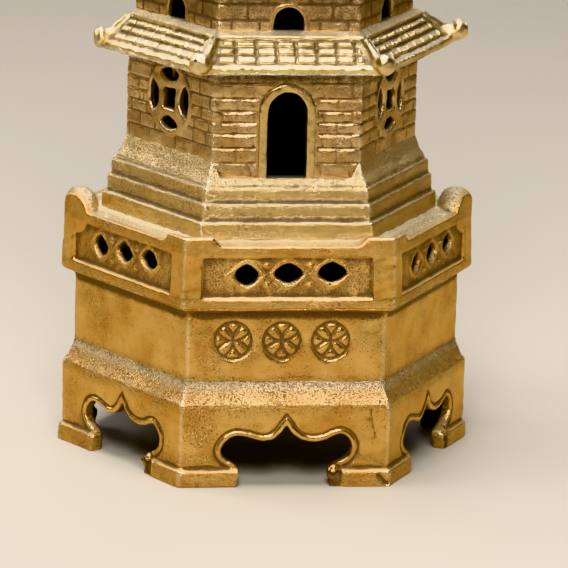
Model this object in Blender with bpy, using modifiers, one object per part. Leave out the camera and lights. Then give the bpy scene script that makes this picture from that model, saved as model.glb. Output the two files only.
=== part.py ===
# A small cast brass pagoda, six-sided, with seven storeys on a railed pedestal.
# Units are metres and +Z is up. The origin is the middle of the footprint, at floor level.
# A radius is measured to a corner of the six-sided plan, unless its name says otherwise.
# The front side faces -Y, and the plan has corners on the +X and -X axes.

import math

import bmesh
import bpy
from mathutils import Matrix, Vector

SIDES = 6
SIDE_ANGLE = math.tau / SIDES
CORNER_TO_SIDE = math.cos(SIDE_ANGLE / 2)
SEAM = 0.0003
WALL_DEPTH = 0.0032
SIDE_NAMES = ("front", "front_right", "back_right", "back", "back_left", "front_left")

# Base apron: a skirt on six feet, with a cusped arch in each side.
FOOT_RADIUS = 0.0649
FOOT_HEIGHT = 0.0048
APRON_RADIUS = 0.0640
APRON_TOP = 0.0256
APRON_INNER_RADIUS = 0.0600
SHOULDER_RADIUS = 0.0604
SHOULDER_TOP = 0.0324
ARCH_CUSP_HEIGHT = 0.0193
ARCH_TOE_TIP = 0.0138
ARCH_LEG_SIDE = 0.0203

# Pedestal: a plain wall with a flared cornice that carries the railing.
PEDESTAL_RADIUS = 0.0605
PEDESTAL_INNER_RADIUS = 0.0568
CORNICE_BOTTOM = 0.0541
CORNICE_TOP = 0.0560

# Railing: a band with a recessed panel, three lozenge holes and a raised lug at each corner.
RAIL_RADIUS = 0.0650
RAIL_TOP_RADIUS = 0.0642
RAIL_INNER_RADIUS = 0.0612
RAIL_BOTTOM = CORNICE_TOP + SEAM
RAIL_TOP = 0.0752
LUG_TOP = 0.0780
LUG_WIDTH = 0.0094
LUG_SLOPE = 0.0026
RECESS_WIDTH = 0.0524
RECESS_BOTTOM = 0.0594
RECESS_TOP = 0.0719
RECESS_DEPTH = 0.0010
LOZENGE_WIDTH = 0.0082
LOZENGE_HEIGHT = 0.0062
LOZENGE_PITCH = 0.0131
LOZENGE_LEVEL = 0.0666

# Terrace floor inside the railing, and the steps that stand on it.
DECK_TOP = 0.0750
DECK_THICKNESS = 0.0028
DECK_OUTER_RADIUS = 0.0608
DECK_INNER_RADIUS = 0.0480
STEP_RADII = (0.0525, 0.0509, 0.0497)
STEP_TOPS = (0.0802, 0.0857, 0.0904)
STEP_WALL_DEPTH = 0.0042
LEDGE_RADIUS = 0.0462
LEDGE_TOP = 0.0920

# First storey: six walls, one with the door and five with a coin window.
FIRST_WALL_RADIUS = 0.0454
FIRST_WALL_BOTTOM = LEDGE_TOP + SEAM
FIRST_WALL_TOP = 0.1261
DOOR_WIDTH = 0.0119
DOOR_BOTTOM = 0.0933
DOOR_HEIGHT = 0.0263
DOOR_TRIM_WIDTH = 0.0026
DOOR_TRIM_PROUD = 0.0011
COIN_LEVEL = 0.1135
COIN_RADIUS = 0.0102
COIN_LENS_DEPTH = 0.0052
COIN_LENS_HALF_WIDTH = 0.0062
COIN_RIB_WIDTH = 0.0015

# Upper storeys: each one repeats the storey below it on a smaller scale.
UPPER_STOREYS = ("second", "third", "fourth", "fifth", "sixth", "seventh")
STOREY_RATIO = 0.955
UPPER_WALL_RADIUS = 0.0453
UPPER_WALL_HEIGHT = 0.0152
UPPER_WALL_DEPTH = 0.0027
WINDOW_WIDTH = 0.0094
WINDOW_HEIGHT = 0.0075

# Roofs: a sloping skirt with a thick lip, hip ridges that end in knobs, and a moulding on top.
EAVE_RADIUS = 0.0556
EAVE_LIP_RADIUS = 0.0560
EAVE_LIP_HEIGHT = 0.0020
ROOF_RISE = 0.0113
ROOF_INNER_RADIUS = 0.0412
RIDGE_THICKNESS = 0.0013
KNOB_TIP_RADIUS = 0.0586

# Top roof and finial.
TOP_ROOF_RISE = 0.0250
TOP_ROOF_NECK_RADIUS = 0.0052
TOP_ROOF_HOLE_RADIUS = 0.0030
FINIAL_HEIGHT = 0.0420
FINIAL_PEG_RADIUS = 0.0022
FINIAL_STEPS = 20

BRASS = {"colour": (0.70, 0.45, 0.13, 1.0), "roughness": 0.34}
DULL_BRASS = {"colour": (0.52, 0.38, 0.17, 1.0), "roughness": 0.48}
PALE_BRASS = {"colour": (0.80, 0.66, 0.36, 1.0), "roughness": 0.38}


def clear_scene():
    for obj in list(bpy.data.objects):
        bpy.data.objects.remove(obj, do_unlink=True)


def new_collection(name):
    collection = bpy.data.collections.new(name)
    bpy.context.scene.collection.children.link(collection)
    return collection


def new_material(name, finish):
    material = bpy.data.materials.new(name)
    material.use_nodes = True
    shader = material.node_tree.nodes["Principled BSDF"]
    shader.inputs["Base Color"].default_value = finish["colour"]
    shader.inputs["Metallic"].default_value = 1.0
    shader.inputs["Roughness"].default_value = finish["roughness"]
    return material


def new_part(name, mesh, finish):
    part = bpy.data.objects.new(name, mesh)
    part.data.materials.append(new_material(name + "_brass", finish))
    parts_collection.objects.link(part)
    return part


def hide_as_cutter(cutter):
    cutters_collection.objects.link(cutter)
    cutter.hide_render = True
    cutter.display_type = "WIRE"
    return cutter


def add_boolean(part, operand, operation):
    boolean = part.modifiers.new(operation.lower() + "_" + operand.name, "BOOLEAN")
    boolean.operation = operation
    boolean.solver = "EXACT"
    boolean.object = operand


def arc(centre, radius, start, end, steps):
    """Points on an arc, both ends included, with the angles in degrees."""
    points = []
    for step in range(steps + 1):
        angle = math.radians(start + (end - start) * step / steps)
        points.append((centre[0] + radius * math.cos(angle), centre[1] + radius * math.sin(angle)))
    return points


def turned_mesh_object(name, outline, steps, closed, finish):
    """Turns an outline of (radius, height) points round Z, which runs down its outer side first."""
    mesh = bpy.data.meshes.new(name)
    shape = bmesh.new()
    corners = [shape.verts.new((radius, 0.0, height)) for radius, height in outline]
    for lower, upper in zip(corners, corners[1:]):
        shape.edges.new((lower, upper))
    if closed:
        shape.edges.new((corners[-1], corners[0]))
    shape.to_mesh(mesh)
    shape.free()
    part = new_part(name, mesh, finish)
    screw = part.modifiers.new("turn", "SCREW")
    screw.steps = steps
    screw.render_steps = steps
    screw.use_merge_vertices = True
    screw.merge_threshold = 0.00001
    screw.use_smooth_shade = False
    return part


def hexagonal_ring(name, outline, finish):
    return turned_mesh_object(name, outline, SIDES, True, finish)


def side_sector(name, outline, side, finish):
    """One side of a six-sided ring, mitred at both corners with half a seam taken off each."""
    shape = bmesh.new()
    first_corner = math.radians(240)
    corners = []
    for radius, height in outline:
        corners.append(shape.verts.new((radius * math.cos(first_corner), radius * math.sin(first_corner), height)))
    face = shape.faces.new(corners)
    bmesh.ops.spin(
        shape,
        geom=[face] + list(face.edges) + list(face.verts),
        axis=(0, 0, 1),
        cent=(0, 0, 0),
        angle=SIDE_ANGLE,
        steps=1,
    )
    for vert in shape.verts:
        vert.co.x -= math.copysign(SEAM / 2, vert.co.x)
    bmesh.ops.recalc_face_normals(shape, faces=shape.faces)
    mesh = bpy.data.meshes.new(name)
    shape.to_mesh(mesh)
    shape.free()
    part = new_part(name, mesh, finish)
    part.rotation_euler.z = side * SIDE_ANGLE
    return part


def flat_curve(name, outlines, depth, curve_type="POLY", sharp=()):
    """A filled 2D curve in X and Z, extruded to both sides of Y = 0, made a welded mesh."""
    curve = bpy.data.curves.new(name, "CURVE")
    curve.dimensions = "2D"
    curve.fill_mode = "BOTH"
    curve.extrude = depth / 2
    curve.resolution_u = 4
    for outline in outlines:
        spline = curve.splines.new(curve_type)
        spline.use_cyclic_u = True
        if curve_type == "BEZIER":
            spline.bezier_points.add(len(outline) - 1)
            for index, (point, place) in enumerate(zip(spline.bezier_points, outline)):
                handle = "VECTOR" if index in sharp else "AUTO"
                point.co = (place[0], place[1], 0)
                point.handle_left_type = handle
                point.handle_right_type = handle
        else:
            spline.points.add(len(outline) - 1)
            for point, place in zip(spline.points, outline):
                point.co = (place[0], place[1], 0, 1)
    flat = bpy.data.objects.new(name, curve)
    cutters_collection.objects.link(flat)
    bpy.context.view_layer.update()
    evaluated = flat.evaluated_get(bpy.context.evaluated_depsgraph_get())
    mesh = bpy.data.meshes.new_from_object(evaluated)
    bpy.data.objects.remove(flat, do_unlink=True)
    shape = bmesh.new()
    shape.from_mesh(mesh)
    bmesh.ops.remove_doubles(shape, verts=shape.verts, dist=0.000001)
    bmesh.ops.rotate(shape, verts=shape.verts, cent=(0, 0, 0), matrix=Matrix.Rotation(math.pi / 2, 3, "X"))
    bmesh.ops.recalc_face_normals(shape, faces=shape.faces)
    shape.to_mesh(mesh)
    shape.free()
    mesh.name = name
    return mesh


def through_cutter(name, mesh, side=0, height=0.0, outward=0.0):
    """A cutter moved outward from the axis, then turned to face one side."""
    cutter = hide_as_cutter(bpy.data.objects.new(name, mesh))
    angle = side * SIDE_ANGLE
    cutter.rotation_euler.z = angle
    cutter.location = Matrix.Rotation(angle, 3, "Z") @ Vector((0, -outward, height))
    return cutter


def cusped_arch_outline():
    """The opening between two feet: two toes, two lobes and a pointed cusp in the middle."""
    right_half = [
        (ARCH_TOE_TIP + 0.0026, -0.0030),
        (ARCH_TOE_TIP + 0.0012, 0.0004),
        (ARCH_TOE_TIP, 0.0034),
        (ARCH_TOE_TIP + 0.0020, 0.0066),
        (ARCH_LEG_SIDE - 0.0014, 0.0090),
        (ARCH_LEG_SIDE, 0.0122),
        (ARCH_LEG_SIDE - 0.0022, 0.0156),
        (0.0148, 0.0162),
        (0.0080, 0.0143),
        (0.0030, 0.0163),
    ]
    cusp = [(0.0, ARCH_CUSP_HEIGHT)]
    left_half = [(-x, z) for x, z in reversed(right_half)]
    sharp = (0, len(right_half), 2 * len(right_half))
    return right_half + cusp + left_half, sharp


def make_base_apron():
    outline = [
        (SHOULDER_RADIUS, SHOULDER_TOP),
        (SHOULDER_RADIUS + 0.0007, SHOULDER_TOP - 0.0024),
        (APRON_RADIUS - 0.0014, APRON_TOP + 0.0018),
        (APRON_RADIUS, APRON_TOP),
        (APRON_RADIUS, FOOT_HEIGHT + 0.0014),
        (FOOT_RADIUS, FOOT_HEIGHT),
        (FOOT_RADIUS, 0.0),
        (APRON_INNER_RADIUS, 0.0),
        (APRON_INNER_RADIUS, APRON_TOP - 0.0010),
        (PEDESTAL_INNER_RADIUS, SHOULDER_TOP),
    ]
    apron = hexagonal_ring("base_apron", outline, BRASS)
    arch_outline, sharp = cusped_arch_outline()
    arch_mesh = flat_curve("cusped_arch", [arch_outline], 4 * APRON_RADIUS, "BEZIER", sharp)
    for side in range(SIDES // 2):
        add_boolean(apron, through_cutter(f"apron_arch_{side}", arch_mesh, side), "DIFFERENCE")


def make_pedestal_wall():
    outline = [
        (RAIL_RADIUS - 0.0004, CORNICE_TOP),
        (RAIL_RADIUS - 0.0004, CORNICE_TOP - 0.0005),
        (PEDESTAL_RADIUS, CORNICE_BOTTOM),
        (PEDESTAL_RADIUS, SHOULDER_TOP + SEAM),
        (PEDESTAL_INNER_RADIUS, SHOULDER_TOP + SEAM),
        (PEDESTAL_INNER_RADIUS, CORNICE_TOP),
    ]
    hexagonal_ring("pedestal_wall", outline, BRASS)


def lozenge_outline(width, height, across, level):
    """A lozenge with blunt points, on the rail's own front."""
    blunt = 0.14
    half_width = width / 2
    half_height = height / 2
    quarter = [(half_width, blunt * half_height), (blunt * half_width, half_height)]
    outline = quarter + [(-x, z) for x, z in reversed(quarter)]
    outline += [(-x, -z) for x, z in quarter] + [(x, -z) for x, z in reversed(quarter)]
    return [(across + x, level + z) for x, z in outline]


def make_railing():
    outline = [
        (RAIL_TOP_RADIUS, LUG_TOP),
        (RAIL_TOP_RADIUS, RAIL_TOP - 0.0006),
        (RAIL_RADIUS, RAIL_BOTTOM),
        (RAIL_INNER_RADIUS, RAIL_BOTTOM),
        (RAIL_INNER_RADIUS, LUG_TOP),
    ]
    reach = 4 * WALL_DEPTH
    half_gap = RAIL_RADIUS / 2 - LUG_WIDTH
    above = LUG_TOP + 0.002
    top_cut = [
        (half_gap, above),
        (half_gap, LUG_TOP - 0.0004),
        (half_gap - 0.45 * LUG_SLOPE, RAIL_TOP + 0.0009),
        (half_gap - LUG_SLOPE, RAIL_TOP),
    ]
    top_cut += [(-x, z) for x, z in reversed(top_cut)]
    recess_half = RECESS_WIDTH / 2
    recess = [
        (recess_half, RECESS_BOTTOM),
        (recess_half, RECESS_TOP),
        (-recess_half, RECESS_TOP),
        (-recess_half, RECESS_BOTTOM),
    ]
    top_mesh = flat_curve("rail_top", [top_cut], reach)
    recess_mesh = flat_curve("rail_recess", [recess], 2 * RECESS_DEPTH)
    lozenge_meshes = []
    for place in (-1, 0, 1):
        lozenge = lozenge_outline(LOZENGE_WIDTH, LOZENGE_HEIGHT, place * LOZENGE_PITCH, LOZENGE_LEVEL)
        lozenge_meshes.append(flat_curve(f"lozenge_{place + 1}", [lozenge], reach))
    rail_face = RAIL_RADIUS * CORNER_TO_SIDE
    panel_face = 0.5 * (RAIL_RADIUS + RAIL_TOP_RADIUS) * CORNER_TO_SIDE
    for side, side_name in enumerate(SIDE_NAMES):
        panel = side_sector(side_name + "_railing", outline, side, BRASS)
        top = through_cutter(f"{side_name}_rail_top", top_mesh, side, outward=rail_face)
        add_boolean(panel, top, "DIFFERENCE")
        hollow = through_cutter(f"{side_name}_rail_recess", recess_mesh, side, outward=panel_face)
        add_boolean(panel, hollow, "DIFFERENCE")
        for index, mesh in enumerate(lozenge_meshes):
            hole = through_cutter(f"{side_name}_lozenge_{index}", mesh, side, outward=rail_face)
            add_boolean(panel, hole, "DIFFERENCE")


def make_terrace_deck():
    outline = [
        (DECK_OUTER_RADIUS, DECK_TOP),
        (DECK_OUTER_RADIUS, DECK_TOP - DECK_THICKNESS),
        (DECK_INNER_RADIUS, DECK_TOP - DECK_THICKNESS),
        (DECK_INNER_RADIUS, DECK_TOP),
    ]
    hexagonal_ring("terrace_deck", outline, DULL_BRASS)


def make_stepped_plinth():
    outline = [(LEDGE_RADIUS, LEDGE_TOP)]
    for radius, top in zip(reversed(STEP_RADII), reversed(STEP_TOPS)):
        if len(outline) > 1:
            outline.append((outline[-1][0], top))
        outline.append((radius, top))
    outline.append((STEP_RADII[0], DECK_TOP + SEAM))
    outline.append((STEP_RADII[0] - STEP_WALL_DEPTH, DECK_TOP + SEAM))
    outline.append((STEP_RADII[2] - STEP_WALL_DEPTH, STEP_TOPS[1]))
    outline.append((FIRST_WALL_RADIUS - WALL_DEPTH, LEDGE_TOP))
    hexagonal_ring("stepped_plinth", outline, DULL_BRASS)


def arch_outline(width, bottom, height, steps=8):
    """An upright opening with a half-round head."""
    half = width / 2
    return [(half, bottom)] + arc((0, bottom + height - half), half, 0, 180, steps) + [(-half, bottom)]


def coin_window_outlines():
    """Four lens-shaped holes round a curved square, as in an old coin."""
    tip_height = math.sqrt(COIN_RADIUS**2 - COIN_LENS_HALF_WIDTH**2)
    inner = COIN_RADIUS - COIN_LENS_DEPTH
    rise = tip_height - inner
    rib_radius = (COIN_LENS_HALF_WIDTH**2 + rise**2) / (2 * rise)
    rib_centre = inner + rib_radius
    outer_spread = math.degrees(math.asin(COIN_LENS_HALF_WIDTH / COIN_RADIUS))
    inner_spread = math.degrees(math.asin(COIN_LENS_HALF_WIDTH / rib_radius))
    top_edge = arc((0, 0), COIN_RADIUS, 90 - outer_spread, 90 + outer_spread, 5)
    low_edge = arc((0, rib_centre), rib_radius, 270 - inner_spread, 270 + inner_spread, 5)
    lens = top_edge + low_edge[1:-1]
    square_radius = rib_radius + COIN_RIB_WIDTH
    corner = 0.5 * (rib_centre - math.sqrt(2 * square_radius**2 - rib_centre**2))
    square_spread = math.degrees(math.asin(corner / square_radius))
    square_side = arc((0, rib_centre), square_radius, 270 + square_spread, 270 - square_spread, 4)[:-1]
    outlines = []
    square = []
    for quarter in range(4):
        turn = Matrix.Rotation(quarter * math.pi / 2, 2)
        outlines.append([tuple(turn @ Vector(point)) for point in lens])
        square += [tuple(turn @ Vector(point)) for point in square_side]
    outlines.append(square)
    return [[(x, z + COIN_LEVEL) for x, z in outline] for outline in outlines]


def make_first_storey():
    inner_radius = FIRST_WALL_RADIUS - WALL_DEPTH
    outline = [
        (FIRST_WALL_RADIUS, FIRST_WALL_TOP),
        (FIRST_WALL_RADIUS, FIRST_WALL_BOTTOM),
        (inner_radius, FIRST_WALL_BOTTOM),
        (inner_radius, FIRST_WALL_TOP),
    ]
    wall_face = FIRST_WALL_RADIUS * CORNER_TO_SIDE
    reach = 4 * WALL_DEPTH
    frame_width = DOOR_WIDTH + 2 * DOOR_TRIM_WIDTH
    frame_bottom = FIRST_WALL_BOTTOM
    below_wall = 0.0010
    doorway_height = DOOR_BOTTOM + DOOR_HEIGHT + DOOR_TRIM_WIDTH + SEAM - (frame_bottom - below_wall)
    doorway = arch_outline(frame_width + 2 * SEAM, frame_bottom - below_wall, doorway_height)
    doorway_mesh = flat_curve("doorway", [doorway], reach)
    coin_meshes = []
    for index, coin_outline in enumerate(coin_window_outlines()):
        coin_meshes.append(flat_curve(f"coin_hole_{index}", [coin_outline], reach))
    for side, side_name in enumerate(SIDE_NAMES):
        wall = side_sector(side_name + "_wall", outline, side, DULL_BRASS)
        meshes = [doorway_mesh] if side == 0 else coin_meshes
        for index, mesh in enumerate(meshes):
            hole = through_cutter(f"{side_name}_hole_{index}", mesh, side, outward=wall_face)
            add_boolean(wall, hole, "DIFFERENCE")
    outer_height = DOOR_BOTTOM + DOOR_HEIGHT + DOOR_TRIM_WIDTH - frame_bottom
    outer = arch_outline(frame_width, frame_bottom, outer_height)
    opening = arch_outline(DOOR_WIDTH, DOOR_BOTTOM, DOOR_HEIGHT)
    wall_depth = WALL_DEPTH * CORNER_TO_SIDE
    frame_mesh = flat_curve("door_frame", [outer, opening], wall_depth + DOOR_TRIM_PROUD)
    frame = new_part("door_frame", frame_mesh, BRASS)
    frame.location.y = -(wall_face + DOOR_TRIM_PROUD) + (wall_depth + DOOR_TRIM_PROUD) / 2


def ridge_mesh(name, scale, eave, ridge_top_radius, ridge_top_height):
    """Six hip ridges, each one swelling into an upturned knob past the corner of the eave."""
    thick = RIDGE_THICKNESS * scale
    tip = KNOB_TIP_RADIUS * scale
    lip = EAVE_LIP_RADIUS * scale
    places = [
        (ridge_top_radius, ridge_top_height, 0.85),
        (0.5 * (ridge_top_radius + lip), 0.5 * (ridge_top_height + 0.0028 * scale) - 0.0004 * scale, 1.0),
        (lip - 0.0044 * scale, 0.0036 * scale, 1.3),
        (lip - 0.0018 * scale, 0.0028 * scale, 1.9),
        (lip + 0.0006 * scale, 0.0029 * scale, 2.1),
        (tip - 0.0008 * scale, 0.0032 * scale, 1.6),
        (tip, 0.0036 * scale, 0.7),
    ]
    curve = bpy.data.curves.new(name, "CURVE")
    curve.dimensions = "3D"
    curve.bevel_depth = thick
    curve.bevel_resolution = 2
    curve.use_fill_caps = True
    spline = curve.splines.new("POLY")
    spline.points.add(len(places) - 1)
    for point, (radius, height, swell) in zip(spline.points, places):
        point.co = (radius, 0, eave + height, 1)
        point.radius = swell
    tube = bpy.data.objects.new(name, curve)
    cutters_collection.objects.link(tube)
    bpy.context.view_layer.update()
    evaluated = tube.evaluated_get(bpy.context.evaluated_depsgraph_get())
    mesh = bpy.data.meshes.new_from_object(evaluated)
    bpy.data.objects.remove(tube, do_unlink=True)
    shape = bmesh.new()
    shape.from_mesh(mesh)
    bmesh.ops.remove_doubles(shape, verts=shape.verts, dist=0.000001)
    bmesh.ops.recalc_face_normals(shape, faces=shape.faces)
    first = list(shape.verts) + list(shape.edges) + list(shape.faces)
    for side in range(1, SIDES):
        copied = bmesh.ops.duplicate(shape, geom=first)
        verts = [item for item in copied["geom"] if isinstance(item, bmesh.types.BMVert)]
        turn = Matrix.Rotation(side * SIDE_ANGLE, 3, "Z")
        bmesh.ops.rotate(shape, verts=verts, cent=(0, 0, 0), matrix=turn)
    shape.to_mesh(mesh)
    shape.free()
    return mesh


def make_roof(name, scale, eave):
    """A roof with an open middle, which carries the next storey's wall."""
    slope = [
        (0.0438, ROOF_RISE),
        (0.0463, ROOF_RISE - 0.0014),
        (0.0466, ROOF_RISE - 0.0021),
        (0.0511, 0.0054),
        (EAVE_LIP_RADIUS, EAVE_LIP_HEIGHT),
        (EAVE_RADIUS, 0.0),
        (ROOF_INNER_RADIUS, 0.0),
        (ROOF_INNER_RADIUS - 0.0012, ROOF_RISE),
    ]
    outline = [(radius * scale, eave + height * scale) for radius, height in slope]
    roof = hexagonal_ring(name, outline, PALE_BRASS)
    mesh = ridge_mesh(name + "_ridges", scale, eave, 0.0466 * scale, (ROOF_RISE - 0.0016) * scale)
    ridges = hide_as_cutter(bpy.data.objects.new(name + "_ridges", mesh))
    add_boolean(roof, ridges, "UNION")


def make_upper_wall(name, scale, bottom):
    """A low wall with a small arched window in the foot of each side."""
    radius = UPPER_WALL_RADIUS * scale
    inner = radius - UPPER_WALL_DEPTH
    top = bottom + UPPER_WALL_HEIGHT * scale
    outline = [(radius - 0.0004, top), (radius, bottom), (inner, bottom), (inner, top)]
    wall = hexagonal_ring(name, outline, DULL_BRASS)
    below_wall = 0.0010
    window = arch_outline(WINDOW_WIDTH * scale, bottom - below_wall, WINDOW_HEIGHT * scale + below_wall)
    mesh = flat_curve(name + "_window", [window], 4 * radius)
    for side in range(SIDES // 2):
        cutter = through_cutter(f"{name}_window_{side}", mesh, side)
        add_boolean(wall, cutter, "DIFFERENCE")
    return top


def make_top_roof(name, scale, eave):
    """The last roof rises to a neck that takes the finial's peg."""
    shell = 0.0030
    lip = EAVE_LIP_RADIUS * scale
    outline = [
        (TOP_ROOF_NECK_RADIUS, eave + TOP_ROOF_RISE),
        (TOP_ROOF_NECK_RADIUS + 0.0010, eave + 0.84 * TOP_ROOF_RISE),
        (0.30 * lip, eave + 0.58 * TOP_ROOF_RISE),
        (0.62 * lip, eave + 0.27 * TOP_ROOF_RISE),
        (lip, eave + EAVE_LIP_HEIGHT),
        (EAVE_RADIUS * scale, eave),
        (ROOF_INNER_RADIUS * scale, eave),
        (0.30 * lip, eave + 0.58 * TOP_ROOF_RISE - 1.4 * shell),
        (TOP_ROOF_HOLE_RADIUS, eave + 0.84 * TOP_ROOF_RISE - shell),
        (TOP_ROOF_HOLE_RADIUS, eave + TOP_ROOF_RISE),
    ]
    roof = hexagonal_ring(name, outline, PALE_BRASS)
    mesh = ridge_mesh(name + "_ridges", scale, eave, 0.30 * lip, 0.58 * TOP_ROOF_RISE)
    ridges = hide_as_cutter(bpy.data.objects.new(name + "_ridges", mesh))
    add_boolean(roof, ridges, "UNION")
    return eave + TOP_ROOF_RISE


def make_finial(bottom):
    """A round base on a peg, a double gourd and a pointed tip, each one standing in the last."""
    base_top = bottom + 0.17 * FINIAL_HEIGHT
    gourd_top = bottom + 0.74 * FINIAL_HEIGHT
    tip_top = bottom + FINIAL_HEIGHT
    foot = bottom + SEAM
    base = [
        (0.0, base_top),
        (0.0046, base_top),
        (0.0062, base_top - 0.0012),
        (0.0050, base_top - 0.0030),
        (0.0066, foot + 0.0016),
        (0.0060, foot),
        (FINIAL_PEG_RADIUS, foot),
        (FINIAL_PEG_RADIUS, bottom - 0.0030),
        (0.0, bottom - 0.0030),
    ]
    turned_mesh_object("finial_base", base, FINIAL_STEPS, False, BRASS)
    gourd_foot = base_top + SEAM
    low_radius = 0.0082
    high_radius = 0.0056
    low_centre = gourd_foot + 0.0075
    high_centre = gourd_top - 0.0046
    low_bulb = arc((0, low_centre), low_radius, 58, -65, 8)
    high_bulb = arc((0, high_centre), high_radius, 66, -52, 6)
    gourd = [(0.0, high_bulb[0][1])] + high_bulb + low_bulb + [(0.0, low_bulb[-1][1])]
    turned_mesh_object("finial_gourd", gourd, FINIAL_STEPS, False, BRASS)
    tip_foot = high_bulb[0][1] + SEAM
    tip = [
        (0.0, tip_top),
        (0.0007, tip_top - 0.0006),
        (0.0013, tip_top - 0.0030),
        (0.0024, tip_foot + 0.0040),
        (0.0034, tip_foot + 0.0024),
        (0.0034, tip_foot + 0.0012),
        (0.0023, tip_foot),
        (0.0, tip_foot),
    ]
    turned_mesh_object("finial_tip", tip, FINIAL_STEPS, False, BRASS)


def make_storeys():
    """The repeated storeys, from the first roof up to the finial."""
    eave = FIRST_WALL_TOP + SEAM
    make_roof("first_roof", 1.0, eave)
    bottom = eave + ROOF_RISE + SEAM
    for level, storey in enumerate(UPPER_STOREYS, start=1):
        scale = STOREY_RATIO**level
        wall_top = make_upper_wall(storey + "_storey_wall", scale, bottom)
        eave = wall_top + SEAM
        if storey == UPPER_STOREYS[-1]:
            make_finial(make_top_roof("top_roof", scale, eave))
        else:
            make_roof(storey + "_roof", scale, eave)
            bottom = eave + ROOF_RISE * scale + SEAM


clear_scene()
parts_collection = new_collection("pagoda")
cutters_collection = new_collection("cutters")
make_base_apron()
make_pedestal_wall()
make_railing()
make_terrace_deck()
make_stepped_plinth()
make_first_storey()
make_storeys()
bpy.context.view_layer.update()
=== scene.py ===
# A small cast brass pagoda: the casting's own surface, brickwork, tiles and finish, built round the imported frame.
# Metres, +Z up, the door faces -Y. Sides count from the front one, turning to the right.
import math

import bmesh
import bpy
import numpy as np
from mathutils import Matrix, Vector


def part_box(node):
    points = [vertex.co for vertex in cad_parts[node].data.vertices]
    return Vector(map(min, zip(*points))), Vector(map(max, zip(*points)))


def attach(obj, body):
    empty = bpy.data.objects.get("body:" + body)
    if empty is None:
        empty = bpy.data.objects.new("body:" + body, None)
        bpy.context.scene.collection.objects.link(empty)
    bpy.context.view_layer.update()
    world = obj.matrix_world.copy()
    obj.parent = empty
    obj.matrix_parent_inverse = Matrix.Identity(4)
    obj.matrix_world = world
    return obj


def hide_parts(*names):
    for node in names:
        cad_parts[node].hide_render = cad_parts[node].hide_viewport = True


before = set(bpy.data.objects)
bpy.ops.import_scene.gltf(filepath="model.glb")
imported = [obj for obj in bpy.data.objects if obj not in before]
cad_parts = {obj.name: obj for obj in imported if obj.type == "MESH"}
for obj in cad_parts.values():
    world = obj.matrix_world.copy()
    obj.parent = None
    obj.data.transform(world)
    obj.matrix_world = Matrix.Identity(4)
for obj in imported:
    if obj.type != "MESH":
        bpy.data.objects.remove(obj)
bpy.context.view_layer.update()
sideNames = ("front", "front_right", "back_right", "back", "back_left", "front_left")
sideAngle = math.radians(60)
cornerToSide = math.cos(sideAngle / 2)
print("frame loaded")


def newObject(name, data):
    made = bpy.data.objects.new(name, data)
    bpy.context.scene.collection.objects.link(made)
    return made


def looseObject(shape, name):
    mesh = bpy.data.meshes.new(name)
    shape.to_mesh(mesh)
    shape.free()
    return newObject(name, mesh)


# sets a node's sockets to numbers or colours, or links other nodes' outputs to them
def feed(tree, node, values):
    for socket, value in values.items():
        if isinstance(value, (int, float, tuple)):
            node.inputs[socket].default_value = value
        else:
            tree.links.new(value, node.inputs[socket])
    return node.outputs


# camera, floor and light
cameraLook = {"azimuth": -6.90, "elevation": 13.89, "distance": 1.417, "aimHeight": 0.0501, "yaw": -0.22,
              "roll": 1.63, "lens": 285.2}


def placeCamera():
    data = bpy.data.cameras.new("camera")
    data.lens = cameraLook["lens"]
    data.sensor_width = 36.0
    data.clip_end = 20
    azimuth = math.radians(cameraLook["azimuth"])
    elevation = math.radians(cameraLook["elevation"])
    heading = azimuth + math.radians(cameraLook["yaw"])
    roll = math.radians(cameraLook["roll"])
    reach = cameraLook["distance"]
    place = Vector((reach * math.sin(azimuth) * math.cos(elevation),
                    -reach * math.cos(azimuth) * math.cos(elevation),
                    cameraLook["aimHeight"] + reach * math.sin(elevation)))
    forward = Vector((-math.sin(heading) * math.cos(elevation),
                      math.cos(heading) * math.cos(elevation),
                      -math.sin(elevation)))
    level = Vector((math.cos(heading), math.sin(heading), 0))
    upright = level.cross(forward)
    right = level * math.cos(roll) + upright * math.sin(roll)
    up = upright * math.cos(roll) - level * math.sin(roll)
    turn = Matrix((right, up, -forward)).transposed().to_4x4()
    camera = newObject("camera", data)
    camera.matrix_world = Matrix.Translation(place) @ turn
    bpy.context.scene.camera = camera


studio = {"floorSize": 8.0, "floorColour": (0.41, 0.37, 0.32, 1.0), "floorRoughness": 0.7,
          "skyColour": (0.90, 0.88, 0.85, 1.0), "skyStrength": 0.9,
          "roomColour": (0.30, 0.27, 0.23, 1.0), "roomStrength": 0.22,
          "lights": (("overheadLight", (-0.12, -0.08, 1.30), 0.08, (0.45, 0.5), 20.0, (1.0, 0.98, 0.95)),
                     ("frontHighLight", (-0.12, -1.00, 0.92), 0.08, (0.45, 0.6), 20.0, (1.0, 0.975, 0.92)),
                     ("leftLight", (-0.95, 0.66, 0.67), 0.09, (0.5, 0.6), 6.3, (1.0, 0.975, 0.94)),
                     ("rightLight", (0.87, 0.87, 0.48), 0.09, (0.4, 0.4), 1.8, (1.0, 0.95, 0.92)),
                     ("backLight", (0.20, 1.20, 0.62), 0.09, (0.6, 0.3), 2.0, (1.0, 0.98, 0.96)))}


# a soft light that looks at the axis at a height
def softbox(name, place, aimHeight, size, power, colour):
    data = bpy.data.lights.new(name, "AREA")
    data.shape = "RECTANGLE"
    data.size, data.size_y = size
    data.energy = power
    data.color = colour
    lamp = newObject(name, data)
    lamp.location = place
    lamp.rotation_euler = (Vector((0, 0, aimHeight)) - Vector(place)).to_track_quat("-Z", "Y").to_euler()


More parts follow.
